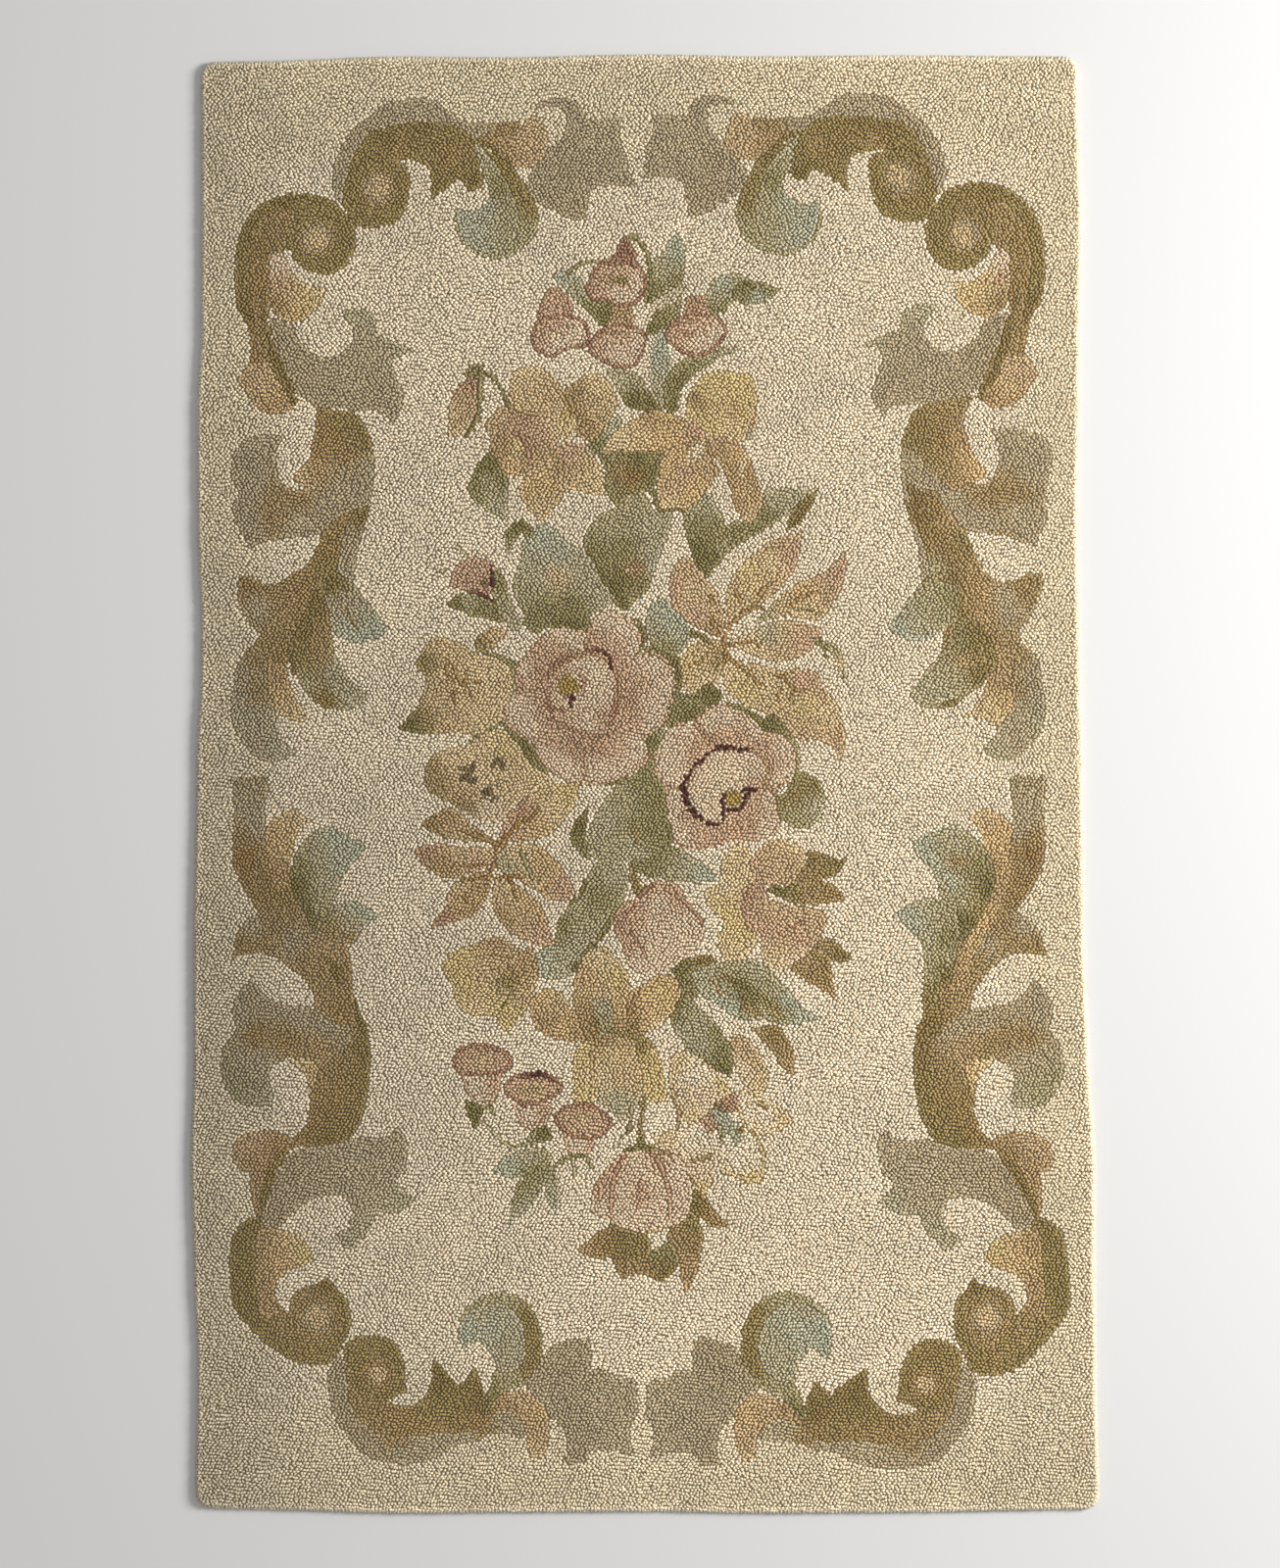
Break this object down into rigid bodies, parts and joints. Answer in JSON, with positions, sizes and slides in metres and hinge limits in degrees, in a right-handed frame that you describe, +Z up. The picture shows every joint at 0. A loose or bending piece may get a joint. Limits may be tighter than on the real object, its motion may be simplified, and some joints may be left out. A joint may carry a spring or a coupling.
{
  "type": "hooked rug",
  "caption": "Rectangular hooked rug of looped wool pile, lying flat, with a scrolled leaf border around a traditional flower bouquet.",
  "frame": {"origin": "on the surface that the rug lies on, under the middle of the rug", "axes": "+Z up, +Y along the rug to the end that is the top of its pattern, +X across it to the right"},
  "size_m": [0.9358, 1.502, 0.0093],
  "materials": {
    "hooked_pile": "matt looped wool pile in faded beige, rose, olive and grey-green"
  },
  "bodies": {
    "root": {"hooked_rug": "hooked_pile"}
  },
  "joints": []
}
